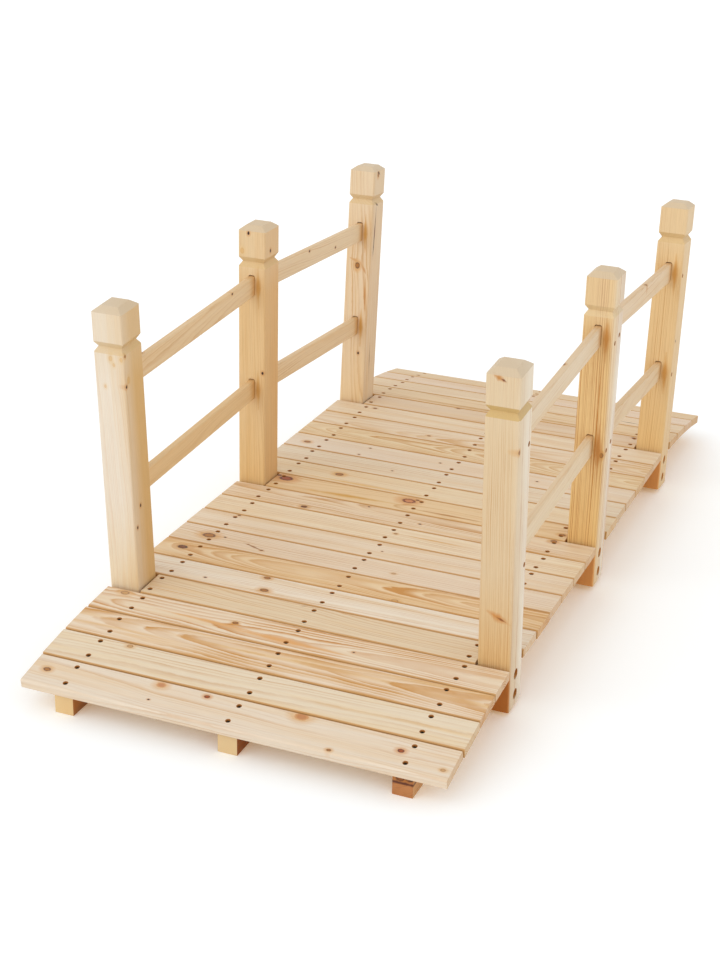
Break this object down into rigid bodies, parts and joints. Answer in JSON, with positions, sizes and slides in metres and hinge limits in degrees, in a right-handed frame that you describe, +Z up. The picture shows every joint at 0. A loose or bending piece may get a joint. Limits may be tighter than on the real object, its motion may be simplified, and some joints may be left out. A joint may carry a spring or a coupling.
{
  "type": "wooden footbridge",
  "caption": "Low arched garden footbridge in natural softwood, with a slatted deck and two-rail handrails on square posts with shaped heads.",
  "frame": {"origin": "on the ground under the middle of the deck, at the bottom centre of the bounding box", "axes": "+Z up; Y along the bridge, from the front end (-Y) to the back end (+Y); X across the deck"},
  "size_m": [0.67, 1.5252, 0.5575],
  "materials": {
    "deck_board": "planed, unfinished softwood",
    "stringer": "planed, unfinished softwood",
    "post": "planed, unfinished softwood",
    "rail": "planed, unfinished softwood"
  },
  "bodies": {
    "root": {"board_01": "deck_board", "board_02": "deck_board", "board_03": "deck_board", "board_04": "deck_board", "board_05": "deck_board", "board_06": "deck_board", "board_07": "deck_board", "board_08": "deck_board", "board_09": "deck_board", "board_10": "deck_board", "board_11": "deck_board", "board_12": "deck_board", "board_13": "deck_board", "board_14": "deck_board", "board_15": "deck_board", "board_16": "deck_board", "board_17": "deck_board", "board_18": "deck_board", "board_19": "deck_board", "board_20": "deck_board", "board_21": "deck_board", "board_22": "deck_board", "board_23": "deck_board", "stringer_left": "stringer", "stringer_middle": "stringer", "stringer_right": "stringer", "post_left_front": "post", "post_left_middle": "post", "post_left_back": "post", "post_right_front": "post", "post_right_middle": "post", "post_right_back": "post", "rail_left_front_low": "rail", "rail_left_front_top": "rail", "rail_left_back_low": "rail", "rail_left_back_top": "rail", "rail_right_front_low": "rail", "rail_right_front_top": "rail", "rail_right_back_low": "rail", "rail_right_back_top": "rail"}
  },
  "joints": []
}
